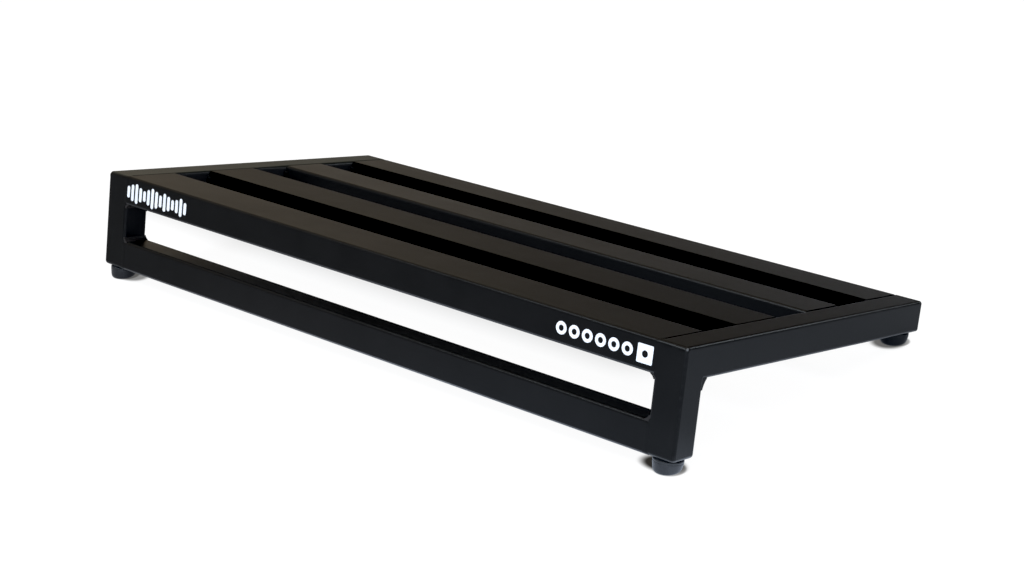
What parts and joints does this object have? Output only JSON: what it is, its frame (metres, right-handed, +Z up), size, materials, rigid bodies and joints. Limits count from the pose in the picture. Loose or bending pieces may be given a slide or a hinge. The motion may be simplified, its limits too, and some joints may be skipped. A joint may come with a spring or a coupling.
{
  "type": "pedalboard frame",
  "caption": "Low sloping pedalboard of black tube rails between two side rails, with short legs and an open window at the tall end, standing on rubber feet.",
  "frame": {"origin": "on the ground, under the middle of the bounding box", "axes": "+X along the length, to the right as seen facing the tall end; -Y the tall end with the window and printed marks; +Y the low edge by the player; +Z up"},
  "size_m": [0.6096, 0.317, 0.0904],
  "materials": {
    "frame_coat": "satin black powder coat over welded aluminium tube",
    "weld_coat": "satin black powder coat over weld beads",
    "foot_rubber": "moulded black rubber, faint sheen",
    "zinc_steel": "bright zinc plate",
    "white_print": "white screen print"
  },
  "bodies": {
    "root": {"deck_rail_1": "frame_coat", "deck_rail_2": "frame_coat", "deck_rail_3": "frame_coat", "deck_rail_4": "frame_coat", "side_rail_left": "frame_coat", "side_rail_right": "frame_coat", "leg_left": "frame_coat", "leg_right": "frame_coat", "lower_rail": "frame_coat", "leg_end_plate_left": "frame_coat", "leg_end_plate_right": "frame_coat", "side_rail_end_plate_left": "frame_coat", "side_rail_end_plate_right": "frame_coat", "weld_bead_knee_left": "weld_coat", "weld_bead_knee_right": "weld_coat", "weld_beads_window": "weld_coat", "weld_seams_tall_face": "weld_coat", "weld_beads_deck_left": "weld_coat", "weld_beads_deck_right": "weld_coat", "foot_tall_left": "foot_rubber", "foot_tall_right": "foot_rubber", "foot_low_left": "foot_rubber", "foot_low_right": "foot_rubber", "foot_washers": "zinc_steel", "foot_screws": "zinc_steel", "rivet_nuts": "zinc_steel", "printed_mark_left": "white_print", "printed_mark_right": "white_print"}
  },
  "joints": []
}
